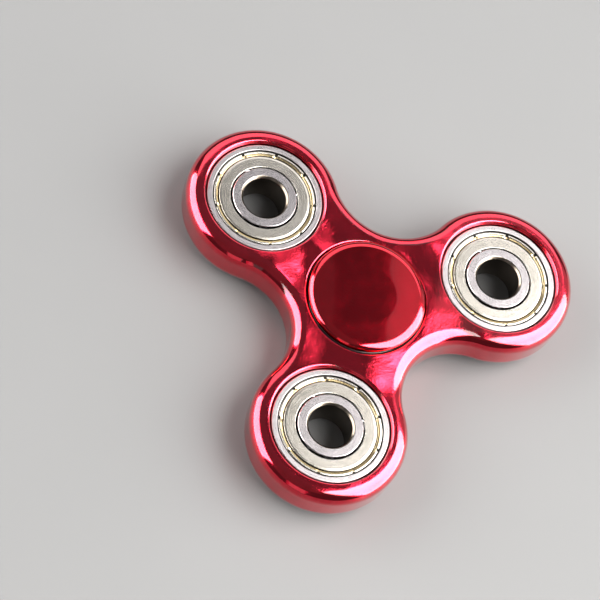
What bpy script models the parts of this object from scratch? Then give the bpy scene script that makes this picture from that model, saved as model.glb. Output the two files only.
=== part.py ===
"""Three-lobe fidget spinner: a plated frame that turns on a centre bearing between two finger caps.

Each lobe holds one more ball bearing as a weight, and its open inner ring turns by itself.
Frame: +Z along the spin axis, origin on that axis at half the thickness, one lobe along +Y.
"""

import math

import bmesh
import bpy

MM = 0.001

# Driving dimensions: the ball bearing, size 608
BEARING_OD = 22.0 * MM
BEARING_BORE = 8.0 * MM
BEARING_WIDTH = 7.0 * MM
BALL_DIAMETER = 3.969 * MM
BALL_PITCH_RADIUS = 7.5 * MM
BALL_COUNT = 7

# Driving dimensions: the frame
ARM_LENGTH = 26.4 * MM          # spin axis to the axis of a lobe
LOBE_RADIUS = 14.5 * MM
WAIST = 14.5 * MM               # spin axis to the nearest point of the outline between two lobes
BODY_THICKNESS = 8.4 * MM
EDGE_FILLET = 2.4 * MM
RIM_CHAMFER = 0.3 * MM          # how much wider each bore is at the face than at the bearing
PRESS_GAP = 0.05 * MM           # left between faceted pieces that are pressed together

# Driving dimensions: the finger caps
CAP_RADIUS = 10.9 * MM
CAP_TOP = 5.6 * MM              # height of the cap's flat middle over the mid-plane
CAP_UNDERSIDE = 3.9 * MM
CAP_FLAT_RADIUS = 5.2 * MM
CAP_CROWN = 0.1 * MM            # fall of the cap's top from its flat middle to its round shoulder
CAP_SHOULDER_WIDTH = 1.4 * MM
CAP_SHOULDER_HEIGHT = 1.0 * MM
CAP_BOSS_RADIUS = 5.7 * MM
STUB_END = 0.2 * MM             # height where each cap's stub stops, just short of the mid-plane

# Driving dimensions: rings, shields and cages
RING_CHAMFER = 0.3 * MM
BORE_CHAMFER = 0.4 * MM
INNER_RING_RADIUS = 6.0 * MM
OUTER_LAND_RADIUS = 8.95 * MM
SHIELD_SEAT_RADIUS = 9.75 * MM
SHIELD_SEAT_DEPTH = 0.6 * MM
RACE_RADIUS = 2.15 * MM         # radius of both ball grooves, about the ball circle
SHIELD_HOLE_RADIUS = 6.35 * MM
SHIELD_PLATE_RADIUS = 8.5 * MM
SHIELD_PLATE_TOP = 3.22 * MM
SHIELD_GROOVE_RADIUS = 8.68 * MM
SHIELD_GROOVE_FLOOR = 3.08 * MM
SHIELD_CREST_RADIUS = 9.45 * MM
SHIELD_CREST_TOP = 3.38 * MM
SHIELD_RIM_RADIUS = 9.65 * MM
SHIELD_UNDERSIDE = 2.95 * MM
NOTCH_COUNT = 9
NOTCH_HALF_ANGLE = math.radians(1.4)
NOTCH_SLOPE_ANGLE = math.radians(1.2)
NOTCH_FLOOR = 3.1 * MM
CAGE_INNER_RADIUS = 6.6 * MM
CAGE_OUTER_RADIUS = 8.4 * MM
CAGE_BOTTOM = -2.75 * MM
CAGE_TOP = 0.95 * MM
POCKET_RADIUS = 2.17 * MM

# Fineness of the facets
SEGMENTS = 28
RACE_STEPS = 3
FILLET_STEPS = 4
LOBE_STEPS = 24
WAIST_STEPS = 12
CROWN_STEPS = 6
CROWN_POWER = 1.25              # how soon the crown starts to fall beside the flat middle
POCKET_SEGMENTS = 12
BALL_SUBDIVISIONS = 2

LOBE_ANGLES = {"back": 90.0, "left": 210.0, "right": 330.0}
NOTCH_TURNS = {"back": 32.0, "left": 31.0, "right": 10.5}   # how each lobe's shields happen to be turned
SMOOTH_ANGLE = math.radians(35.0)


def clear_scene():
    for obj in list(bpy.data.objects):
        bpy.data.objects.remove(obj)


def make_material(name, colour, metallic, roughness):
    material = bpy.data.materials.new(name)
    material.use_nodes = True
    shader = material.node_tree.nodes["Principled BSDF"]
    shader.inputs["Base Color"].default_value = (*colour, 1.0)
    shader.inputs["Metallic"].default_value = metallic
    shader.inputs["Roughness"].default_value = roughness
    return material


def make_empty(name, location=(0.0, 0.0, 0.0), parent=None):
    empty = bpy.data.objects.new(name, None)
    empty.location = location
    empty.parent = parent
    bpy.context.scene.collection.objects.link(empty)
    return empty


def mesh_from(bm, name, material=None):
    """Closes the bmesh into a mesh with its faces pointing out, smooth except at its edges."""
    bmesh.ops.recalc_face_normals(bm, faces=bm.faces)
    mesh = bpy.data.meshes.new(name)
    bm.to_mesh(mesh)
    bm.free()
    mesh.shade_smooth()
    mesh.set_sharp_from_angle(angle=SMOOTH_ANGLE)
    if material:
        mesh.materials.append(material)
    return mesh


def place(name, mesh, parent, location=(0.0, 0.0, 0.0), turn=0.0):
    obj = bpy.data.objects.new(name, mesh)
    obj.parent = parent
    obj.location = location
    obj.rotation_euler.z = turn
    bpy.context.scene.collection.objects.link(obj)
    return obj


def cut(obj, cutter):
    """Takes the cutter out of the object, and keeps the cutter itself out of the model."""
    cutter.hide_render = True
    cutter.display_type = "WIRE"
    boolean = obj.modifiers.new("cut_" + cutter.name, "BOOLEAN")
    boolean.operation = "DIFFERENCE"
    boolean.solver = "EXACT"
    boolean.object = cutter


def bridge(bm, first, second):
    """Quads between two closed loops with the same number of vertices."""
    for i in range(len(first)):
        j = (i + 1) % len(first)
        bm.faces.new((first[i], first[j], second[j], second[i]))


def polar(radius, angle, centre=(0.0, 0.0)):
    return (centre[0] + radius * math.cos(angle), centre[1] + radius * math.sin(angle))


def even_angles(count):
    return [2 * math.pi * i / count for i in range(count)]


def ring_mesh(name, stations, material=None):
    """A closed ring through stations: pairs of an angle about Z and a closed (radius, z) profile."""
    bm = bmesh.new()
    loops = []
    for angle, profile in stations:
        loops.append([bm.verts.new((*polar(r, angle), z)) for r, z in profile])
    for i, loop in enumerate(loops):
        bridge(bm, loop, loops[(i + 1) % len(loops)])
    return mesh_from(bm, name, material)


def turned_ring(name, profile, material=None):
    return ring_mesh(name, [(angle, profile) for angle in even_angles(SEGMENTS)], material)


def turned_solid(name, profile, material=None):
    """A solid of revolution whose profile starts and ends on the Z axis."""
    bm = bmesh.new()
    first = bm.verts.new((0.0, 0.0, profile[0][1]))
    last = bm.verts.new((0.0, 0.0, profile[-1][1]))
    loops = []
    for r, z in profile[1:-1]:
        loops.append([bm.verts.new((*polar(r, angle), z)) for angle in even_angles(SEGMENTS)])
    for loop, following in zip(loops, loops[1:]):
        bridge(bm, loop, following)
    for i in range(SEGMENTS):
        j = (i + 1) % SEGMENTS
        bm.faces.new((first, loops[0][i], loops[0][j]))
        bm.faces.new((last, loops[-1][j], loops[-1][i]))
    return mesh_from(bm, name, material)


def mirrored(profile):
    """The upper half of a profile, followed by its mirror image in the mid-plane."""
    return profile + [(r, -z) for r, z in reversed(profile)]


# The frame

def outline(inset):
    """The frame's outline, moved inwards by inset: lobe arcs joined by tangent waist arcs."""
    reach = LOBE_RADIUS - WAIST
    waist_centre = (ARM_LENGTH**2 - reach**2) / (ARM_LENGTH + 2 * reach)
    waist_radius = waist_centre - WAIST
    half_step = math.radians(60.0)
    span = math.hypot(waist_centre - ARM_LENGTH * math.cos(half_step), ARM_LENGTH * math.sin(half_step))
    lobe_half = math.pi - math.acos(
        (ARM_LENGTH**2 + span**2 - waist_centre**2) / (2 * ARM_LENGTH * span)
    )
    waist_half = math.acos(
        (waist_centre**2 + span**2 - ARM_LENGTH**2) / (2 * waist_centre * span)
    )
    points = []
    for degrees in LOBE_ANGLES.values():
        lobe = math.radians(degrees)
        lobe_axis = polar(ARM_LENGTH, lobe)
        for i in range(LOBE_STEPS):
            turn = lobe + lobe_half * (2 * i / LOBE_STEPS - 1)
            points.append(polar(LOBE_RADIUS - inset, turn, lobe_axis))
        waist = lobe + half_step
        waist_axis = polar(waist_centre, waist)
        for i in range(WAIST_STEPS):
            turn = waist + math.pi + waist_half * (1 - 2 * i / WAIST_STEPS)
            points.append(polar(waist_radius + inset, turn, waist_axis))
    return points


def fillet_levels():
    """(inset, z) down the side of the frame, round at the top and bottom edges."""
    upper = []
    for i in range(FILLET_STEPS + 1):
        turn = math.pi / 2 * (1 - i / FILLET_STEPS)
        inset = EDGE_FILLET * (1 - math.cos(turn))
        upper.append((inset, BODY_THICKNESS / 2 - EDGE_FILLET + EDGE_FILLET * math.sin(turn)))
    return mirrored(upper)


def bore_cutter_mesh():
    """The space of one bearing, opening out in a chamfer at both faces and on past them."""
    radius = BEARING_OD / 2 + PRESS_GAP
    face = BODY_THICKNESS / 2
    start = BEARING_WIDTH / 2 + PRESS_GAP
    slope = RIM_CHAMFER / (face - start)
    past = face + 1.0 * MM
    upper = [(0.0, past), (radius + slope * (past - start), past), (radius, start)]
    return turned_solid("bore_cutter", mirrored(upper))


def make_body(material, rotor, lobe_empties):
    bm = bmesh.new()
    loops = []
    for inset, z in fillet_levels():
        loops.append([bm.verts.new((x, y, z)) for x, y in outline(inset)])
    for loop, following in zip(loops, loops[1:]):
        bridge(bm, loop, following)
    bm.faces.new(loops[0])
    bm.faces.new(loops[-1])
    body = place("body", mesh_from(bm, "body", material), rotor)
    cutter_mesh = bore_cutter_mesh()
    cut(body, place("cutter_centre", cutter_mesh, rotor))
    for lobe, empty in lobe_empties.items():
        cut(body, place("cutter_" + lobe, cutter_mesh, empty))


# The finger caps

def cap_profile():
    """The top cap from its flat middle, over the round shoulder and down to the end of its stub."""
    shoulder_start = CAP_RADIUS - CAP_SHOULDER_WIDTH
    crown_end = CAP_TOP - CAP_CROWN
    points = [(0.0, CAP_TOP)]
    for i in range(CROWN_STEPS):
        share = i / CROWN_STEPS
        radius = CAP_FLAT_RADIUS + (shoulder_start - CAP_FLAT_RADIUS) * share
        points.append((radius, CAP_TOP - CAP_CROWN * share**CROWN_POWER))
    for i in range(FILLET_STEPS + 1):
        turn = math.pi / 2 * i / FILLET_STEPS
        radius = shoulder_start + CAP_SHOULDER_WIDTH * math.sin(turn)
        points.append((radius, crown_end - CAP_SHOULDER_HEIGHT * (1 - math.cos(turn))))
    stub_radius = BEARING_BORE / 2 - PRESS_GAP
    landing = BEARING_WIDTH / 2 + PRESS_GAP
    points.append((CAP_RADIUS, CAP_UNDERSIDE))
    points.append((CAP_BOSS_RADIUS, CAP_UNDERSIDE))
    points.append((CAP_BOSS_RADIUS, landing))
    points.append((stub_radius, landing))
    points.append((stub_radius, STUB_END + RING_CHAMFER))
    points.append((stub_radius - RING_CHAMFER, STUB_END))
    points.append((0.0, STUB_END))
    return points


def make_caps(material, hub):
    place("cap_top", turned_solid("cap", cap_profile(), material), hub)
    turned_over = [(r, -z) for r, z in cap_profile()]
    place("cap_bottom", turned_solid("cap_turned_over", turned_over, material), hub)


# The ball bearings

def groove(side, land_radius):
    """The upper to lower edge of a ball groove: side is 1 in the outer ring, -1 in the inner."""
    half_angle = math.acos(abs(land_radius - BALL_PITCH_RADIUS) / RACE_RADIUS)
    points = []
    for i in range(RACE_STEPS + 1):
        turn = half_angle * (1 - 2 * i / RACE_STEPS)
        radius = BALL_PITCH_RADIUS + side * RACE_RADIUS * math.cos(turn)
        points.append((radius, RACE_RADIUS * math.sin(turn)))
    return points


def outer_ring_profile():
    face = BEARING_WIDTH / 2
    outer = BEARING_OD / 2
    upper = [
        (outer, face - RING_CHAMFER),
        (outer - RING_CHAMFER, face),
        (SHIELD_SEAT_RADIUS, face),
        (SHIELD_SEAT_RADIUS, face - SHIELD_SEAT_DEPTH),
        (OUTER_LAND_RADIUS, face - SHIELD_SEAT_DEPTH),
    ]
    lower = [(r, -z) for r, z in reversed(upper)]
    return upper + groove(1, OUTER_LAND_RADIUS) + lower


def inner_ring_profile():
    face = BEARING_WIDTH / 2
    bore = BEARING_BORE / 2
    upper = [
        (bore, face - BORE_CHAMFER),
        (bore + BORE_CHAMFER, face),
        (INNER_RING_RADIUS - RING_CHAMFER / 2, face),
        (INNER_RING_RADIUS, face - RING_CHAMFER / 2),
    ]
    lower = [(r, -z) for r, z in reversed(upper)]
    return upper + groove(-1, INNER_RING_RADIUS) + lower


def shield_mesh(name, side, material):
    """A pressed plate inside a groove and a crimped rim, which is notched: side is 1 on top, -1 underneath."""
    whole = [
        (SHIELD_HOLE_RADIUS, side * SHIELD_UNDERSIDE),
        (SHIELD_HOLE_RADIUS, side * SHIELD_PLATE_TOP),
        (SHIELD_PLATE_RADIUS, side * SHIELD_PLATE_TOP),
        (SHIELD_GROOVE_RADIUS, side * SHIELD_GROOVE_FLOOR),
        (SHIELD_CREST_RADIUS, side * SHIELD_CREST_TOP),
        (SHIELD_RIM_RADIUS, side * SHIELD_UNDERSIDE),
    ]
    notched = list(whole)
    notched[4] = (SHIELD_CREST_RADIUS, side * NOTCH_FLOOR)
    edge = NOTCH_HALF_ANGLE + NOTCH_SLOPE_ANGLE
    stations = []
    for notch in even_angles(NOTCH_COUNT):
        stations.append((notch - edge, whole))
        stations.append((notch - NOTCH_HALF_ANGLE, notched))
        stations.append((notch + NOTCH_HALF_ANGLE, notched))
        stations.append((notch + edge, whole))
        stations.append((notch + math.pi / NOTCH_COUNT, whole))
    return ring_mesh(name, stations, material)


def ball_angles():
    return [math.pi / 2 + angle for angle in even_angles(BALL_COUNT)]


def cage_blank_mesh(material):
    section = [
        (CAGE_INNER_RADIUS, CAGE_BOTTOM),
        (CAGE_INNER_RADIUS, CAGE_TOP),
        (CAGE_OUTER_RADIUS, CAGE_TOP),
        (CAGE_OUTER_RADIUS, CAGE_BOTTOM),
    ]
    return turned_ring("cage", section, material)


def pocket_cutter_mesh():
    """One rod along the radius for each ball, wider than the ball by its play in the cage."""
    bm = bmesh.new()
    inner = CAGE_INNER_RADIUS - 1.0 * MM
    outer = CAGE_OUTER_RADIUS + 1.0 * MM
    for angle in ball_angles():
        loops = []
        for radius in (inner, outer):
            x, y = polar(radius, angle)
            loop = []
            for turn in even_angles(POCKET_SEGMENTS):
                across = POCKET_RADIUS * math.cos(turn)
                offset = (-math.sin(angle) * across, math.cos(angle) * across)
                up = POCKET_RADIUS * math.sin(turn)
                loop.append(bm.verts.new((x + offset[0], y + offset[1], up)))
            loops.append(loop)
        bridge(bm, *loops)
        bm.faces.new(loops[0])
        bm.faces.new(loops[1])
    return mesh_from(bm, "pocket_cutter")


def ball_mesh(material):
    bm = bmesh.new()
    bmesh.ops.create_icosphere(bm, subdivisions=BALL_SUBDIVISIONS, radius=BALL_DIAMETER / 2)
    return mesh_from(bm, "ball", material)


def make_bearing_meshes(steel, zinc, cage_steel, ball_steel):
    return {
        "outer_ring": turned_ring("outer_ring", outer_ring_profile(), steel),
        "inner_ring": turned_ring("inner_ring", inner_ring_profile(), steel),
        "shield_top": shield_mesh("shield_top", 1, zinc),
        "shield_bottom": shield_mesh("shield_bottom", -1, zinc),
        "cage": cage_blank_mesh(cage_steel),
        "pocket_cutter": pocket_cutter_mesh(),
        "ball": ball_mesh(ball_steel),
    }


def make_bearing(place_name, meshes, axis):
    """One bearing about the empty axis. The centre one runs without its shields."""
    place("outer_ring_" + place_name, meshes["outer_ring"], axis)
    place("inner_ring_" + place_name, meshes["inner_ring"], axis)
    if place_name in NOTCH_TURNS:
        turn = math.radians(NOTCH_TURNS[place_name])
        place("shield_top_" + place_name, meshes["shield_top"], axis, turn=turn)
        place("shield_bottom_" + place_name, meshes["shield_bottom"], axis, turn=turn)
    cage = place("cage_" + place_name, meshes["cage"], axis)
    cut(cage, place("pocket_cutter_" + place_name, meshes["pocket_cutter"], axis))
    for number, angle in enumerate(ball_angles(), start=1):
        spot = (*polar(BALL_PITCH_RADIUS, angle), 0.0)
        place(f"ball_{place_name}_{number}", meshes["ball"], axis, spot)


def main():
    clear_scene()
    body_plating = make_material("body_plating", (0.55, 0.02, 0.05), 1.0, 0.12)
    cap_plating = make_material("cap_plating", (0.50, 0.02, 0.05), 1.0, 0.15)
    ring_steel = make_material("ring_steel", (0.72, 0.71, 0.73), 1.0, 0.32)
    shield_zinc = make_material("shield_zinc", (0.78, 0.75, 0.64), 1.0, 0.35)
    cage_steel = make_material("cage_steel", (0.60, 0.58, 0.54), 1.0, 0.38)
    ball_steel = make_material("ball_steel", (0.80, 0.80, 0.82), 1.0, 0.08)

    hub = make_empty("spin_axis")
    lobe_empties = {}
    for lobe, degrees in LOBE_ANGLES.items():
        lobe_axis = (*polar(ARM_LENGTH, math.radians(degrees)), 0.0)
        lobe_empties[lobe] = make_empty("lobe_axis_" + lobe, lobe_axis, hub)

    make_body(body_plating, hub, lobe_empties)
    make_caps(cap_plating, hub)
    meshes = make_bearing_meshes(ring_steel, shield_zinc, cage_steel, ball_steel)
    make_bearing("centre", meshes, hub)
    for lobe, empty in lobe_empties.items():
        make_bearing(lobe, meshes, empty)


main()
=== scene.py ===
"""Looks of the three-lobe fidget spinner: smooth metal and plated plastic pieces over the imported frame."""

import math

import bmesh
import bpy
from mathutils import Matrix, Vector


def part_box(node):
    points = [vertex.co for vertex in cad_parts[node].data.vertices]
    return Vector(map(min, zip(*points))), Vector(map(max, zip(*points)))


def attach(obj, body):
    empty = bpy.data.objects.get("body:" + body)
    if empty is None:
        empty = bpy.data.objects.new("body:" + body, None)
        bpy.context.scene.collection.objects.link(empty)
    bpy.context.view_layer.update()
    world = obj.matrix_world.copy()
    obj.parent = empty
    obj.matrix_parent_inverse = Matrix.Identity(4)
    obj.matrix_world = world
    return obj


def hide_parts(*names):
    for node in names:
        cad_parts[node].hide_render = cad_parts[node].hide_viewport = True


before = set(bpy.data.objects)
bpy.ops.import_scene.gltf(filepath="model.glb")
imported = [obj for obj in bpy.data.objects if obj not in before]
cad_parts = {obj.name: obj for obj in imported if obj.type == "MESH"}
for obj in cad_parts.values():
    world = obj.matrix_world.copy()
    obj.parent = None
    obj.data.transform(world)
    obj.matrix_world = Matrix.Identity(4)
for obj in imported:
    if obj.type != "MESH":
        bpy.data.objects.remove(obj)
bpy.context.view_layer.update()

MM = 0.001

# Camera: the direction from the aim point to the camera, as angles, and its own roll
CAMERA_AIM = Vector((-3.14, -10.96, 0.0)) * MM
CAMERA_DISTANCE = 490.8 * MM
CAMERA_AZIMUTH = math.radians(-41.73)
CAMERA_ELEVATION = math.radians(61.46)
CAMERA_ROLL = math.radians(29.29)
CAMERA_LENS = 161.98

# Stage
LIGHT_DISTANCE = 1.3
FLOOR_SIZE = 3.0
FLOOR_TONE = (0.08, 0.08, 0.082)
FLOOR_TONE_SPREAD = 1.06
WORLD_TONE = (0.12, 0.12, 0.122)
SOFTBOX_TONE = (1.0, 0.985, 0.95)
CARD_TONE = (1.0, 1.0, 1.0)

# Each light: azimuth, elevation, width and height in degrees seen from the object, radiance, colour
LIGHTS = {
    "softbox_right": (60.0, 36.0, 64.0, 80.0, 16.0, SOFTBOX_TONE),
    "card_right": (66.0, 36.0, 84.0, 82.0, 0.6, CARD_TONE),
    "softbox_left": (242.0, 22.0, 62.0, 54.0, 13.0, SOFTBOX_TONE),
    "card_above": (250.0, 70.0, 100.0, 59.0, 0.1, CARD_TONE),
    "card_far": (157.0, 37.0, 64.0, 34.0, 2.0, CARD_TONE),
    "card_near": (320.0, 16.0, 18.0, 30.0, 0.8, CARD_TONE),
}

# Fineness of the visible surfaces
SEGMENTS = 144
ARC_STEPS = 5
LOBE_STEPS = 96
WAIST_STEPS = 48
FILLET_STEPS = 14
CROWN_STEPS = 20
GROOVE_STEPS = 12
SECTOR_STEPS = 14
ROD_SEGMENTS = 40
BALL_SUBDIVISIONS = 4
HOLD = 0.04 * MM                # distance of the loops that keep flat faces flat beside a rounded edge
HOLD_SHARE = 0.3                # the most of a short flat that those loops may take up
SHARP_ANGLE = math.radians(50.0)

# Noise scales, per metre
SWELL_SCALE = 60.0
WAVE_SCALE = 200.0
PATCH_SCALE = 300.0
STAIN_SCALE = 420.0
PLATING_SPECKLE_SCALE = 2600.0
STEEL_SPECKLE_SCALE = 3400.0
FLOOR_SCALE = 30.0
RIPPLE_RINGS = 600.0
GRINDING_RINGS = 4000.0
SHIELD_RINGS = 3000.0

# Where the looks change
SWELL_START = (-0.0072, -0.0058, 0.0)
SKIN_START, SKIN_END = 0.30 * MM, 0.03 * MM          # depths below the frame's face
# Painted sheen: a pinker colour mixed into the plating on the frame's flat faces, in place of the hazy
# reflections they catch
FLAT_SHEEN_TONE = (0.60, 0.022, 0.050)                     # mixed into the plating on the frame's flat faces
FLAT_SHEEN_SHARE = 0.8
RIPPLE_START, RIPPLE_END = 11.5 * MM, 18.0 * MM      # distances from the spin axis
# Painted shade: a near-black colour on the walls inside the bearings, below the rings' face
RECESS_SHADE_START, RECESS_SHADE_END = 0.16 * MM, 0.10 * MM            # depths below the rings' face
RECESS_SHADE_TONE = (0.03, 0.028, 0.025)

# The frame's webs between the bores: where each lies around the axis, which way it falls, and its slope
LEANS = (
    (0.0, 60.0, 0.05),
    (60.0, 60.0, 0.05),
    (120.0, -30.0, 0.10),
    (180.0, -30.0, 0.10),
    (240.0, 60.0, 0.14),
    (300.0, 60.0, 0.06),
)
WEB_DISTANCE = 15.0 * MM
WEB_INNER = 1.0 * MM            # a web leans fully within this distance of its middle
WEB_OUTER = 8.0 * MM            # and not at all past this one

LOBES = ("back", "left", "right")
PLACES = ("centre",) + LOBES


# The frame's own measures

def middle_of(node):
    low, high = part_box(node)
    return (low + high) / 2


def half_size(node):
    low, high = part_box(node)
    return (high - low) / 2


CENTRES = {place: middle_of("outer_ring_" + place) for place in PLACES}
ARM = CENTRES["back"].y
RING_RADIUS = half_size("outer_ring_back").x
RING_FACE = half_size("outer_ring_back").z
INNER_RADIUS = half_size("inner_ring_back").x
BODY_FACE = half_size("body").z
LOBE_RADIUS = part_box("body")[1].y - ARM
CAP_RADIUS = half_size("cap_top").x
CAP_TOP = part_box("cap_top")[1].z
CAP_STUB_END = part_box("cap_top")[0].z
SHIELD_RIM = half_size("shield_top_back").x
SHIELD_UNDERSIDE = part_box("shield_top_back")[0].z
BALL_RADIUS = half_size("ball_back_1").z
CAGE_RADIUS = half_size("cage_back").x
CAGE_LOW, CAGE_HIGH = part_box("cage_back")[0].z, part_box("cage_back")[1].z

# Measures that the boxes don't show
WAIST = 14.5 * MM               # spin axis to the waist between two lobes
EDGE_FILLET = 2.4 * MM
PRESS_GAP = 0.05 * MM
RIM_CHAMFER = 0.3 * MM
RIM_ROUND = 0.32 * MM
BORE_RADIUS = 4.0 * MM
LAND_RADIUS = 8.95 * MM
SEAT_RADIUS = 9.75 * MM
SEAT_DEPTH = 0.6 * MM
RACE_RADIUS = 2.15 * MM
PITCH_RADIUS = 7.5 * MM
BALL_COUNT = 7
NOTCH_COUNT = 9
NOTCH_TURNS = {"back": 32.0, "left": 31.0, "right": 10.5}      # in degrees
PIN_ROUND = 0.02 * MM           # the least rounding, of corners that only have to catch the light

# The cap
CAP_FLAT = 5.2 * MM
CAP_CROWN = 0.1 * MM
CAP_CROWN_POWER = 1.25
CAP_SHOULDER_WIDTH = 1.4 * MM
CAP_SHOULDER_HEIGHT = 1.1 * MM - CAP_CROWN
CAP_CLEARANCE = 0.4 * MM
CAP_BOSS = 5.7 * MM

# The shield: radius, height above its underside, and rounding of each corner, in millimetres
SHIELD_CORNERS = (
    (6.35, 0.0, 0.04),
    (6.35, 0.27, 0.10),
    (8.10, 0.27, 0.40),
    (8.46, 0.23, 0.08),
    (8.56, 0.04, 0.03),
    (8.68, 0.04, 0.03),
)
BEAD_CORNERS = (
    (8.80, 0.15, 0.04),
    (9.08, 0.18, 0.04),
    (9.17, 0.40, 0.09),
    (9.48, 0.38, 0.12),
)
SLIT_CORNERS = (
    (8.80, 0.08, 0.02),
    (8.98, 0.10, 0.02),
    (9.06, 0.105, 0.02),
    (9.14, 0.08, 0.02),
    (9.20, 0.0, 0.02),
)
SHIELD_RIM_ROUND = 0.04 * MM
HALF_SLIT = math.radians(1.3)
SLIT_LIP = math.radians(0.5)

# The cage
CAGE_INNER_RADIUS = 6.6 * MM
CAGE_ROUND = 0.15 * MM
POCKET_RADIUS = 2.17 * MM
ROD_LENGTH = 4 * MM


# Mesh helpers

def polar(radius, angle, centre=(0.0, 0.0)):
    return (centre[0] + radius * math.cos(angle), centre[1] + radius * math.sin(angle))


def even_angles(count):
    return [2 * math.pi * i / count for i in range(count)]


def arc_between(start, end, centre):
    """Points from start to end along the shorter arc about centre."""
    a, b = start - centre, end - centre
    turn = a.angle(b)
    points = []
    for i in range(ARC_STEPS + 1):
        share = i / ARC_STEPS
        mixed = a * math.sin((1 - share) * turn) + b * math.sin(share * turn)
        points.append(centre + mixed / math.sin(turn))
    return points


def rounded(corners, closed=True):
    """A profile of (r, z, radius) corners with each corner rounded and each flat held flat."""
    arcs = []
    count = len(corners)
    for i, (r, z, radius) in enumerate(corners):
        here = Vector((r, z))
        if not closed and i in (0, count - 1):
            arcs.append([here])
            continue
        back = (Vector(corners[i - 1][:2]) - here).normalized()
        ahead = (Vector(corners[(i + 1) % count][:2]) - here).normalized()
        half = back.angle(ahead) / 2
        reach = radius / math.tan(half)
        centre = here + (back + ahead).normalized() * (radius / math.sin(half))
        arcs.append(arc_between(here + back * reach, here + ahead * reach, centre))
    points = []
    for i, arc in enumerate(arcs):
        points += arc
        if i == count - 1 and not closed:
            break
        start, end = arc[-1], arcs[(i + 1) % count][0]
        step = (end - start) * min(HOLD / (end - start).length, HOLD_SHARE)
        points += [start + step, end - step]
    return [(p.x, p.y) for p in points]


def bridge(bm, first, second):
    for i in range(len(first)):
        j = (i + 1) % len(first)
        bm.faces.new((first[i], first[j], second[j], second[i]))


def finished(bm, name):
    bmesh.ops.recalc_face_normals(bm, faces=bm.faces)
    mesh = bpy.data.meshes.new(name)
    bm.to_mesh(mesh)
    bm.free()
    mesh.shade_smooth()
    mesh.set_sharp_from_angle(angle=SHARP_ANGLE)
    return mesh


def circle(bm, radius, z, centre=(0.0, 0.0)):
    return [bm.verts.new((*polar(radius, angle, centre), z)) for angle in even_angles(SEGMENTS)]


def ring_mesh(name, stations):
    """A closed ring through (angle, closed profile) stations."""
    bm = bmesh.new()
    loops = [[bm.verts.new((*polar(r, angle), z)) for r, z in profile] for angle, profile in stations]
    for i, loop in enumerate(loops):
        bridge(bm, loop, loops[(i + 1) % len(loops)])
    return finished(bm, name)


def turned_ring(name, corners):
    profile = rounded(corners)
    return ring_mesh(name, [(angle, profile) for angle in even_angles(SEGMENTS)])


def turned_solid(name, profile):
    """A solid of revolution whose profile starts and ends on the Z axis."""
    bm = bmesh.new()
    first = bm.verts.new((0.0, 0.0, profile[0][1]))
    last = bm.verts.new((0.0, 0.0, profile[-1][1]))
    loops = [circle(bm, r, z) for r, z in profile[1:-1]]
    for loop, following in zip(loops, loops[1:]):
        bridge(bm, loop, following)
    for i in range(SEGMENTS):
        j = (i + 1) % SEGMENTS
        bm.faces.new((first, loops[0][i], loops[0][j]))
        bm.faces.new((last, loops[-1][j], loops[-1][i]))
    return finished(bm, name)


def mirrored(corners):
    """The corners turned upside down, in reverse order."""
    return [(r, -z, rounding) for r, z, rounding in reversed(corners)]


def put(name, mesh, material, body, node, centre=(0.0, 0.0, 0.0), turn=0.0):
    """Places a piece that stands for one CAD node and rides on that node's body."""
    piece = bpy.data.objects.new(name, mesh)
    piece.location = centre
    piece.rotation_euler.z = turn
    bpy.context.scene.collection.objects.link(piece)
    if not mesh.materials:
        mesh.materials.append(material)
    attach(piece, body)
    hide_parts(node)
    return piece


# Material helpers

def new_material(name):
    material = bpy.data.materials.new(name)
    material.use_nodes = True
    return material, material.node_tree, material.node_tree.nodes["Principled BSDF"]


def add(tree, kind, inputs, **settings):
    """A node with its settings and inputs: an input is a plain value or another node's socket."""
    made = tree.nodes.new(kind)
    for key, value in settings.items():
        setattr(made, key, value)
    for key, value in inputs.items():
        if isinstance(value, bpy.types.NodeSocket):
            tree.links.new(value, made.inputs[key])
        else:
            made.inputs[key].default_value = value
    return made


def own_position(tree):
    return tree.nodes.new("ShaderNodeTexCoord").outputs["Object"]


def noise(tree, vector, scale, detail=2.0, roughness=0.5):
    inputs = {"Vector": vector, "Scale": scale, "Detail": detail, "Roughness": roughness}
    return add(tree, "ShaderNodeTexNoise", inputs).outputs["Fac"]


def remap(tree, value, low, high, to_low, to_high):
    inputs = {"Value": value, "From Min": low, "From Max": high, "To Min": to_low, "To Max": to_high}
    return add(tree, "ShaderNodeMapRange", inputs).outputs["Result"]


def mix_colour(tree, factor, first, second):
    """From first to second as the factor goes from 0 to 1: each is a plain colour or a socket."""
    inputs = {"Factor": factor, "A": first, "B": second}
    for key in ("A", "B"):
        if not isinstance(inputs[key], bpy.types.NodeSocket):
            inputs[key] = (*inputs[key], 1.0)
    return add(tree, "ShaderNodeMix", inputs, data_type="RGBA").outputs["Result"]


def bump(tree, height, distance, normal=None):
    inputs = {"Height": height, "Distance": distance, "Strength": 1.0}
    if normal:
        inputs["Normal"] = normal
    return add(tree, "ShaderNodeBump", inputs).outputs["Normal"]


def flat_position(tree):
    """The position with Z set to zero, and Z by itself."""
    split = add(tree, "ShaderNodeSeparateXYZ", {"Vector": own_position(tree)})
    flat = add(tree, "ShaderNodeCombineXYZ", {"X": split.outputs["X"], "Y": split.outputs["Y"]})
    return flat.outputs[0], split.outputs["Z"]


def maths(tree, operation, *values):
    return add(tree, "ShaderNodeMath", dict(enumerate(values)), operation=operation).outputs[0]


def vector_maths(tree, operation, *values):
    return add(tree, "ShaderNodeVectorMath", dict(enumerate(values)), operation=operation).outputs["Vector"]


def length_of(tree, vector):
    return add(tree, "ShaderNodeVectorMath", {0: vector}, operation="LENGTH").outputs["Value"]


def axis_distance(tree):
    flat, _ = flat_position(tree)
    return length_of(tree, flat)


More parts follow.
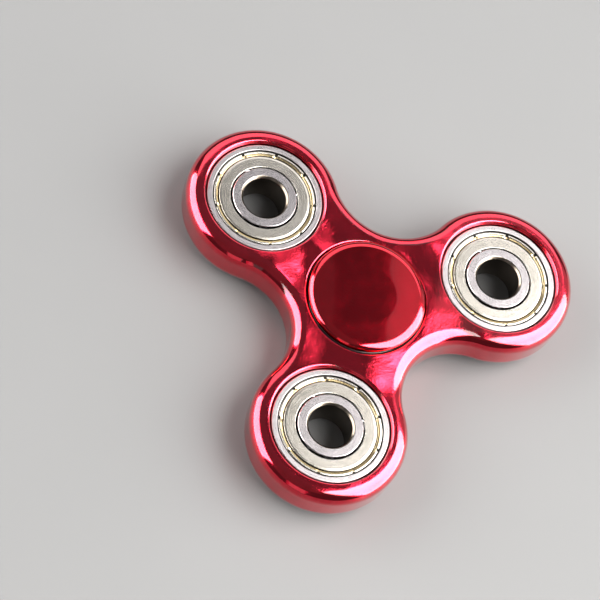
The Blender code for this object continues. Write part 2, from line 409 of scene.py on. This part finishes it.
def polar_position(tree, radial, around):
    """Coordinates that run with the radius and, more slowly, around the piece's own axis."""
    flat, z = flat_position(tree)
    radius = length_of(tree, flat)
    spoke = vector_maths(tree, "NORMALIZE", flat)
    scaled = add(tree, "ShaderNodeVectorMath", {0: spoke, "Scale": around}, operation="SCALE")
    rings = maths(tree, "MULTIPLY", radius, radial)
    height = maths(tree, "MULTIPLY", z, radial)
    lift = add(tree, "ShaderNodeCombineXYZ", {"Z": maths(tree, "ADD", rings, height)})
    return vector_maths(tree, "ADD", scaled.outputs["Vector"], lift.outputs[0])


def leaning_webs(tree):
    """Heights in metres: the webs between the bores are not quite flat, and each leans its own way."""
    flat, _ = flat_position(tree)
    heights = []
    for angle, azimuth, slope in LEANS:
        middle = (*polar(WEB_DISTANCE, math.radians(angle)), 0.0)
        falling = (*polar(-slope, math.radians(azimuth)), 0.0)
        offset = vector_maths(tree, "SUBTRACT", flat, middle)
        lean = add(tree, "ShaderNodeVectorMath", {0: offset, 1: falling}, operation="DOT_PRODUCT")
        window = remap(tree, length_of(tree, offset), WEB_INNER, WEB_OUTER, 1.0, 0.0)
        window.node.interpolation_type = "SMOOTHSTEP"
        heights.append(maths(tree, "MULTIPLY", lean.outputs["Value"], window))
    total = heights[0]
    for height in heights[1:]:
        total = maths(tree, "ADD", total, height)
    return total


def plating(name, deep, bright, haze, waviness, grain_height, flat_haze_and_sheen=0.0):
    """Red plated plastic: a mirror with slow moulding waves and fine speckle.

    waviness holds the depth of the wide swells, of the short waves and of the flow ripples around the
    centre. The last argument is the extra softness of the frame's flat faces, which are less well polished
    and grainier than its round edges; when it is set, those faces also get a painted pink sheen mixed into
    their colour.
    """
    material, tree, shader = new_material(name)
    here = own_position(tree)
    patches = noise(tree, here, PATCH_SCALE, 4.0, 0.6)
    speckle = noise(tree, here, PLATING_SPECKLE_SCALE, 3.0, 0.6)
    colour = mix_colour(tree, remap(tree, patches, 0.35, 0.65, 0.0, 1.0), deep, bright)
    soft = remap(tree, patches, 0.4, 0.7, haze, 1.5 * haze)
    grain = remap(tree, speckle, 0.3, 0.8, 0.0, 0.5 * haze)
    roughness = maths(tree, "ADD", soft, grain)
    grains = speckle
    if flat_haze_and_sheen:
        _, z = flat_position(tree)
        height = maths(tree, "ABSOLUTE", z)
        skin_low, skin_high = BODY_FACE - SKIN_START, BODY_FACE - SKIN_END
        extra = remap(tree, height, skin_low, skin_high, 0.0, flat_haze_and_sheen)
        roughness = maths(tree, "ADD", roughness, extra)
        coarser = remap(tree, height, skin_low, skin_high, 1.0, 3.0)
        # Painted sheen: the flat faces are mixed towards a pinker colour, in place of the hazy reflections
        # they catch.
        tint = remap(tree, height, skin_low, skin_high, 0.0, FLAT_SHEEN_SHARE)
        colour = mix_colour(tree, tint, colour, FLAT_SHEEN_TONE)
        grains = maths(tree, "MULTIPLY", speckle, coarser)
    tree.links.new(colour, shader.inputs["Base Color"])
    tree.links.new(roughness, shader.inputs["Roughness"])
    shader.inputs["Metallic"].default_value = 1.0
    shader.inputs["Coat Weight"].default_value = 0.7
    shader.inputs["Coat Roughness"].default_value = 0.03
    swell_height, wave_height, ripple_height = waviness
    moved = vector_maths(tree, "ADD", here, SWELL_START)
    swell = bump(tree, noise(tree, moved, SWELL_SCALE, 0.0), swell_height)
    if flat_haze_and_sheen:
        swell = bump(tree, leaning_webs(tree), 1.0, swell)
    waves = bump(tree, noise(tree, here, WAVE_SCALE, 1.0, 0.4), wave_height, swell)
    around = noise(tree, polar_position(tree, RIPPLE_RINGS, 4.0), 1.0, 2.0, 0.5)
    near_centre = remap(tree, axis_distance(tree), RIPPLE_START, RIPPLE_END, 1.0, 0.0)
    rippled = bump(tree, maths(tree, "MULTIPLY", around, near_centre), ripple_height, waves)
    tree.links.new(bump(tree, grains, grain_height, rippled), shader.inputs["Normal"])
    return material


def between(tree, value, low, high, ease):
    """1 where the value lies between low and high, and 0 past them."""
    rising = remap(tree, value, low - ease, low, 0.0, 1.0)
    falling = remap(tree, value, high, high + ease, 1.0, 0.0)
    return maths(tree, "MULTIPLY", rising, falling)


def ground_steel(name, light, dark, roughness, lines_and_speckle, rings=GRINDING_RINGS, bands=(), recess_shade=None):
    """Bearing steel with fine grinding lines around the axis, a peened speckle and a faint stain.

    lines_and_speckle holds the depth of each. bands are colours, each with the inner and outer radius that
    it colours. The last argument is the inner and outer radius of the walls inside the bearing, below the
    ring's own face, which get a near-black painted shade.
    """
    material, tree, shader = new_material(name)
    here = own_position(tree)
    radius = axis_distance(tree)
    lines = noise(tree, polar_position(tree, rings, 3.0), 1.0, 2.0, 0.6)
    speckle = noise(tree, here, STEEL_SPECKLE_SCALE, 2.0, 0.7)
    stain = noise(tree, here, STAIN_SCALE, 3.0, 0.6)
    tint = remap(tree, maths(tree, "ADD", stain, speckle), 0.75, 1.25, 0.0, 1.0)
    colour = mix_colour(tree, tint, light, dark)
    for tone, inner, outer in bands:
        colour = mix_colour(tree, between(tree, radius, inner, outer, 0.04 * MM), colour, tone)
    # Painted shade: the walls inside the bearing below the ring's face are mixed towards near-black.
    if recess_shade:
        inner, outer = recess_shade
        wall = between(tree, radius, inner, outer, 0.02 * MM)
        _, z = flat_position(tree)
        below = remap(tree, maths(tree, "ABSOLUTE", z), RING_FACE - RECESS_SHADE_START, RING_FACE - RECESS_SHADE_END, 1.0, 0.0)
        colour = mix_colour(tree, maths(tree, "MULTIPLY", wall, below), colour, RECESS_SHADE_TONE)
    tree.links.new(colour, shader.inputs["Base Color"])
    spread = remap(tree, lines, 0.3, 0.7, roughness - 0.02, roughness + 0.02)
    tree.links.new(spread, shader.inputs["Roughness"])
    shader.inputs["Metallic"].default_value = 1.0
    line_height, speckle_height = lines_and_speckle
    pitted = bump(tree, speckle, speckle_height)
    tree.links.new(bump(tree, lines, line_height, pitted), shader.inputs["Normal"])
    return material


# The materials themselves

def body_material():
    return plating(
        "body_plating_look", deep=(0.54, 0.008, 0.024), bright=(0.68, 0.014, 0.037), haze=0.07,
        waviness=(0.5 * MM, 0.12 * MM, 0.05 * MM), grain_height=0.005 * MM, flat_haze_and_sheen=0.01,
    )


def cap_material():
    return plating(
        "cap_plating_look", deep=(0.59, 0.006, 0.021), bright=(0.63, 0.008, 0.025), haze=0.07,
        waviness=(0.002 * MM, 0.0008 * MM, 0.0), grain_height=0.0008 * MM,
    )


def bearing_materials():
    """The steels by name. A band is a colour with its inner and outer radius."""
    speckled = (0.0, 0.002 * MM)
    # Painted shade: a near-black band on the outer ring's outer chamfer, in the crevice beside the frame
    edge = ((0.06, 0.055, 0.055), 10.78 * MM, 12.0 * MM)
    # Painted shade: a dark band over the inner ring's bore and its chamfer
    bore_shade = ((0.13, 0.11, 0.09), 0.0, 4.45 * MM)
    # Painted shade: a dark brown band in the shield's groove
    groove = ((0.07, 0.055, 0.035), 8.50 * MM, 8.74 * MM)
    golden = ((0.355, 0.285, 0.165), 8.78 * MM, 9.10 * MM)
    # Painted shade: walls inside each bearing, below the ring's face, coloured near-black
    outer_recess_shade = (8.0 * MM, 9.8 * MM)
    inner_recess_shade = (5.5 * MM, 7.0 * MM)
    return {
        "outer": ground_steel(
            "outer_ring_look", (0.385, 0.357, 0.367), (0.315, 0.295, 0.302), 0.28, speckled,
            bands=(edge,), recess_shade=outer_recess_shade,
        ),
        "inner": ground_steel(
            "inner_ring_look", (0.375, 0.350, 0.362), (0.300, 0.280, 0.288), 0.25, speckled,
            bands=(bore_shade,), recess_shade=inner_recess_shade,
        ),
        # Painted shade: the centre bearing's outer ring is coloured near-black for the shade it lies in under
        # the cap.
        "centre": ground_steel(
            "centre_ring_painted_shade", (0.11, 0.10, 0.10), (0.08, 0.075, 0.075), 0.3, speckled,
        ),
        "zinc": ground_steel(
            "shield_zinc_look", (0.475, 0.447, 0.408), (0.392, 0.364, 0.325), 0.23,
            (0.0008 * MM, 0.0015 * MM), SHIELD_RINGS, bands=(groove, golden),
        ),
        "cage": ground_steel(
            "cage_steel_look", (0.62, 0.60, 0.55), (0.50, 0.47, 0.42), 0.36, (0.002 * MM, 0.002 * MM),
        ),
        "ball": ground_steel(
            "ball_steel_look", (0.58, 0.58, 0.60), (0.52, 0.52, 0.54), 0.10, (0.0003 * MM, 0.0),
        ),
    }


# The frame

def outline(inset):
    """The frame's outline, moved inwards by inset: lobe arcs joined by tangent waist arcs."""
    reach = LOBE_RADIUS - WAIST
    waist_centre = (ARM**2 - reach**2) / (ARM + 2 * reach)
    waist_radius = waist_centre - WAIST
    half_step = math.radians(60.0)
    lobe_first = CENTRES["back"].xy
    waist_first = Vector(polar(waist_centre, math.pi / 2 + half_step))
    span = (waist_first - lobe_first).length
    lobe_half = math.pi - (-lobe_first).angle(waist_first - lobe_first)
    waist_half = (-waist_first).angle(lobe_first - waist_first)
    points = []
    for name in LOBES:
        axis = CENTRES[name].xy
        lobe = math.atan2(axis.y, axis.x)
        for i in range(LOBE_STEPS):
            points.append(polar(LOBE_RADIUS - inset, lobe + lobe_half * (2 * i / LOBE_STEPS - 1), axis))
        waist = lobe + half_step
        for i in range(WAIST_STEPS):
            turn = waist + math.pi + waist_half * (1 - 2 * i / WAIST_STEPS)
            points.append(polar(waist_radius + inset, turn, polar(waist_centre, waist)))
    assert abs(span - LOBE_RADIUS - waist_radius) < HOLD
    return points


def side_levels():
    """(inset, z) down the outside of the frame, held flat beside both round edges."""
    upper = [(EDGE_FILLET + HOLD, BODY_FACE)]
    for i in range(FILLET_STEPS + 1):
        turn = math.pi / 2 * (1 - i / FILLET_STEPS)
        upper.append((EDGE_FILLET * (1 - math.cos(turn)), BODY_FACE - EDGE_FILLET * (1 - math.sin(turn))))
    upper.append((0.0, BODY_FACE - EDGE_FILLET - HOLD))
    return upper + [(inset, -z) for inset, z in reversed(upper)]


def bore_levels():
    """(radius, z) down one bearing seat, from its rounded rim to the other rim."""
    wall = RING_RADIUS + PRESS_GAP
    rim = wall + RIM_CHAMFER
    start = RING_FACE + PRESS_GAP
    corners = [
        (rim + 2 * RIM_ROUND, BODY_FACE, 0.0),
        (rim, BODY_FACE, RIM_ROUND),
        (wall, start, RIM_ROUND),
        (wall, -start, RIM_ROUND),
        (rim, -BODY_FACE, RIM_ROUND),
        (rim + 2 * RIM_ROUND, -BODY_FACE, 0.0),
    ]
    return rounded(corners, closed=False)[1:-1]


def body_mesh():
    bm = bmesh.new()
    sides = [[bm.verts.new((x, y, z)) for x, y in outline(inset)] for inset, z in side_levels()]
    for loop, following in zip(sides, sides[1:]):
        bridge(bm, loop, following)
    walls = []
    for centre in CENTRES.values():
        wall = [circle(bm, radius, z, centre.xy) for radius, z in bore_levels()]
        for loop, following in zip(wall, wall[1:]):
            bridge(bm, loop, following)
        walls.append(wall)
    for end in (0, -1):
        edges = []
        for loop in [sides[end]] + [wall[end] for wall in walls]:
            for i in range(len(loop)):
                edges.append(bm.edges.get((loop[i - 1], loop[i])))
        bmesh.ops.triangle_fill(bm, use_beauty=True, use_dissolve=False, edges=edges)
    return finished(bm, "body_shape")


# The finger caps

def cap_profile():
    """The top cap from its flat middle, over the round shoulder and down to the end of its stub."""
    shoulder_start = CAP_RADIUS - CAP_SHOULDER_WIDTH
    shoulder_end = CAP_TOP - CAP_CROWN - CAP_SHOULDER_HEIGHT
    underside = RING_FACE + CAP_CLEARANCE
    landing = RING_FACE + PRESS_GAP
    stub = BORE_RADIUS - PRESS_GAP
    points = [(0.0, CAP_TOP)]
    for i in range(CROWN_STEPS):
        share = i / CROWN_STEPS
        radius = CAP_FLAT + (shoulder_start - CAP_FLAT) * share
        points.append((radius, CAP_TOP - CAP_CROWN * share**CAP_CROWN_POWER))
    for i in range(FILLET_STEPS + 1):
        turn = math.pi / 2 * i / FILLET_STEPS
        radius = shoulder_start + CAP_SHOULDER_WIDTH * math.sin(turn)
        points.append((radius, CAP_TOP - CAP_CROWN - CAP_SHOULDER_HEIGHT * (1 - math.cos(turn))))
    corners = [
        (CAP_RADIUS, shoulder_end - HOLD, 0.0),
        (CAP_RADIUS, underside, 0.25 * MM),
        (CAP_BOSS, underside, 0.1 * MM),
        (CAP_BOSS, landing, 0.15 * MM),
        (stub, landing, 0.1 * MM),
        (stub, CAP_STUB_END, 0.3 * MM),
        (0.0, CAP_STUB_END, 0.0),
    ]
    return points + rounded(corners, closed=False)


# The ball bearings

def ball_angles():
    return [math.pi / 2 + angle for angle in even_angles(BALL_COUNT)]


def groove_corners(side, land):
    """Corners of a ball groove, top to bottom: side is 1 in the outer ring, -1 in the inner ring."""
    half = math.acos(abs(land - PITCH_RADIUS) / RACE_RADIUS)
    corners = []
    for i in range(GROOVE_STEPS + 1):
        turn = half * (1 - 2 * i / GROOVE_STEPS)
        radius = PITCH_RADIUS + side * RACE_RADIUS * math.cos(turn)
        corners.append((radius, RACE_RADIUS * math.sin(turn), PIN_ROUND))
    return corners


def outer_ring_corners():
    chamfer = 0.3 * MM
    upper = [
        (RING_RADIUS, RING_FACE - chamfer, 0.12 * MM),
        (RING_RADIUS - chamfer, RING_FACE, 0.12 * MM),
        (SEAT_RADIUS, RING_FACE, 0.08 * MM),
        (SEAT_RADIUS, RING_FACE - SEAT_DEPTH, 0.05 * MM),
        (LAND_RADIUS, RING_FACE - SEAT_DEPTH, 0.05 * MM),
    ]
    return upper + groove_corners(1, LAND_RADIUS) + mirrored(upper)


def inner_ring_corners():
    bore_chamfer = 0.4 * MM
    chamfer = 0.1 * MM
    upper = [
        (BORE_RADIUS, RING_FACE - bore_chamfer, 0.3 * MM),
        (BORE_RADIUS + bore_chamfer, RING_FACE, 0.3 * MM),
        (INNER_RADIUS - chamfer, RING_FACE, 0.05 * MM),
        (INNER_RADIUS, RING_FACE - chamfer, 0.05 * MM),
    ]
    return upper + groove_corners(-1, INNER_RADIUS) + mirrored(upper)


def blend_corners(first, second, share):
    return [tuple(a + (b - a) * share for a, b in zip(p, q)) for p, q in zip(first, second)]


def shield_corners(table):
    return [(r * MM, SHIELD_UNDERSIDE + z * MM, rounding * MM) for r, z, rounding in table]


def shield_mesh(name, side):
    """A pressed plate with a groove and a crimped bead around it, slit at each notch."""
    plate = shield_corners(SHIELD_CORNERS)
    rim = (SHIELD_RIM, SHIELD_UNDERSIDE, SHIELD_RIM_ROUND)
    whole = plate + shield_corners(BEAD_CORNERS) + [rim]
    slit = plate + shield_corners(SLIT_CORNERS)
    sector = 2 * math.pi / NOTCH_COUNT
    edge = HALF_SLIT + SLIT_LIP
    cuts = [(-edge, 0.0), (-HALF_SLIT, 1.0), (0.0, 1.0), (HALF_SLIT, 1.0), (edge, 0.0)]
    for i in range(1, SECTOR_STEPS):
        cuts.append((edge + (sector - 2 * edge) * i / SECTOR_STEPS, 0.0))
    stations = []
    for notch in range(NOTCH_COUNT):
        for angle, share in cuts:
            profile = rounded(blend_corners(whole, slit, share))
            stations.append((notch * sector + angle, [(r, side * z) for r, z in profile]))
    return ring_mesh(name, stations)


def cage_mesh():
    """A crown ring whose pockets close past the middle of each ball."""
    corners = [
        (CAGE_INNER_RADIUS, CAGE_LOW, CAGE_ROUND),
        (CAGE_INNER_RADIUS, CAGE_HIGH, CAGE_ROUND),
        (CAGE_RADIUS, CAGE_HIGH, CAGE_ROUND),
        (CAGE_RADIUS, CAGE_LOW, CAGE_ROUND),
    ]
    blank = bpy.data.objects.new("cage_blank", turned_ring("cage_blank", corners))
    lying = Matrix.Translation((PITCH_RADIUS, 0, 0)) @ Matrix.Rotation(math.pi / 2, 4, "Y")
    size = {"radius1": POCKET_RADIUS, "radius2": POCKET_RADIUS, "depth": ROD_LENGTH}
    bm = bmesh.new()
    for angle in ball_angles():
        rod = bmesh.ops.create_cone(bm, cap_ends=True, segments=ROD_SEGMENTS, **size)
        bmesh.ops.transform(bm, matrix=Matrix.Rotation(angle, 4, "Z") @ lying, verts=rod["verts"])
    rods = bpy.data.objects.new("cage_rods", finished(bm, "cage_rods"))
    for helper in (blank, rods):
        bpy.context.scene.collection.objects.link(helper)
    pockets = blank.modifiers.new("pockets", "BOOLEAN")
    pockets.operation = "DIFFERENCE"
    pockets.solver = "EXACT"
    pockets.object = rods
    evaluated = blank.evaluated_get(bpy.context.evaluated_depsgraph_get())
    mesh = bpy.data.meshes.new_from_object(evaluated)
    mesh.set_sharp_from_angle(angle=SHARP_ANGLE)
    for helper in (blank, rods):
        bpy.data.objects.remove(helper)
    return mesh


def ball_mesh():
    bm = bmesh.new()
    bmesh.ops.create_icosphere(bm, subdivisions=BALL_SUBDIVISIONS, radius=BALL_RADIUS)
    return finished(bm, "ball_shape")


def bearing_pieces():
    steels = bearing_materials()
    meshes = {
        "outer": turned_ring("outer_ring_shape", outer_ring_corners()),
        "centre": turned_ring("centre_ring_shape", outer_ring_corners()),
        "inner": turned_ring("inner_ring_shape", inner_ring_corners()),
        "top": shield_mesh("shield_top_shape", 1),
        "bottom": shield_mesh("shield_bottom_shape", -1),
        "cage": cage_mesh(),
        "ball": ball_mesh(),
    }

    def piece(prefix, node, mesh, steel, slot, body, spot, turn=0.0):
        put(prefix + node, meshes[mesh], steels[steel], body, node, spot, turn)

    for place in PLACES:
        centre = CENTRES[place]
        middle = place == "centre"
        outer = "centre" if middle else "outer"
        inner_body = "hub" if middle else "inner_set_" + place
        cage_body = "cage_set_" + place
        piece("ground_", "outer_ring_" + place, outer, outer, "ring_steel", "rotor", centre)
        piece("ground_", "inner_ring_" + place, "inner", "inner", "ring_steel", inner_body, centre)
        piece("crown_", "cage_" + place, "cage", "cage", "cage_steel", cage_body, centre)
        for number, angle in enumerate(ball_angles(), start=1):
            spot = centre + Vector((*polar(PITCH_RADIUS, angle), 0.0))
            piece("polished_", f"ball_{place}_{number}", "ball", "ball", "ball_steel", cage_body, spot)
        if middle:
            continue
        turn = math.radians(NOTCH_TURNS[place])
        for side in ("top", "bottom"):
            piece("crimped_", f"shield_{side}_{place}", side, "zinc", "shield_zinc", "rotor", centre, turn)


# Stage: floor, light and camera

def softbox(name, azimuth, elevation, width, height, radiance, colour):
    """A soft light that faces the object, placed and sized as in the LIGHTS table."""
    data = bpy.data.lights.new(name, "AREA")
    data.shape = "RECTANGLE"
    data.size = 2 * LIGHT_DISTANCE * math.tan(math.radians(width / 2))
    data.size_y = 2 * LIGHT_DISTANCE * math.tan(math.radians(height / 2))
    data.energy = radiance * math.pi * data.size * data.size_y
    data.color = colour
    lamp = bpy.data.objects.new(name, data)
    level = math.cos(math.radians(elevation))
    towards = Vector((*polar(level, math.radians(azimuth)), math.sin(math.radians(elevation))))
    lamp.location = towards * LIGHT_DISTANCE
    lamp.rotation_mode = "QUATERNION"
    lamp.rotation_quaternion = towards.to_track_quat("Z", "Y")
    lamp.visible_camera = False
    bpy.context.scene.collection.objects.link(lamp)


def make_stage():
    bm = bmesh.new()
    bmesh.ops.create_grid(bm, x_segments=8, y_segments=8, size=FLOOR_SIZE)
    floor = bpy.data.objects.new("floor", finished(bm, "floor_shape"))
    floor.location.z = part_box("cap_bottom")[0].z
    bpy.context.scene.collection.objects.link(floor)
    material, tree, shader = new_material("floor_paint")
    tone = noise(tree, own_position(tree), FLOOR_SCALE, 3.0)
    lighter = [c * FLOOR_TONE_SPREAD for c in FLOOR_TONE]
    tree.links.new(mix_colour(tree, tone, FLOOR_TONE, lighter), shader.inputs["Base Color"])
    shader.inputs["Roughness"].default_value = 0.6
    floor.data.materials.append(material)
    world = bpy.data.worlds.new("studio")
    world.use_nodes = True
    world.node_tree.nodes["Background"].inputs["Color"].default_value = (*WORLD_TONE, 1.0)
    bpy.context.scene.world = world
    bpy.context.scene.view_settings.view_transform = "Standard"
    for name, light in LIGHTS.items():
        softbox(name, *light)


def make_camera():
    data = bpy.data.cameras.new("camera")
    data.lens = CAMERA_LENS
    data.clip_start, data.clip_end = 0.01, 10.0
    camera = bpy.data.objects.new("camera", data)
    bpy.context.scene.collection.objects.link(camera)
    level = math.cos(CAMERA_ELEVATION)
    towards = Vector((*polar(level, CAMERA_AZIMUTH), math.sin(CAMERA_ELEVATION)))
    across = Vector((0, 0, 1)).cross(towards).normalized()
    upright = Matrix((across, towards.cross(across), towards)).transposed()
    turned = upright @ Matrix.Rotation(CAMERA_ROLL, 3, "Z")
    camera.matrix_world = Matrix.Translation(CAMERA_AIM + towards * CAMERA_DISTANCE) @ turned.to_4x4()
    bpy.context.scene.camera = camera


def main():
    put("plated_body", body_mesh(), body_material(), "rotor", "body")
    cap_look = cap_material()
    profile = cap_profile()
    turned_over = [(r, -z) for r, z in profile]
    put("crowned_cap_top", turned_solid("cap_top_shape", profile), cap_look, "hub", "cap_top")
    bottom = turned_solid("cap_bottom_shape", turned_over)
    put("crowned_cap_bottom", bottom, cap_look, "hub", "cap_bottom")
    bearing_pieces()
    make_stage()
    make_camera()


main()
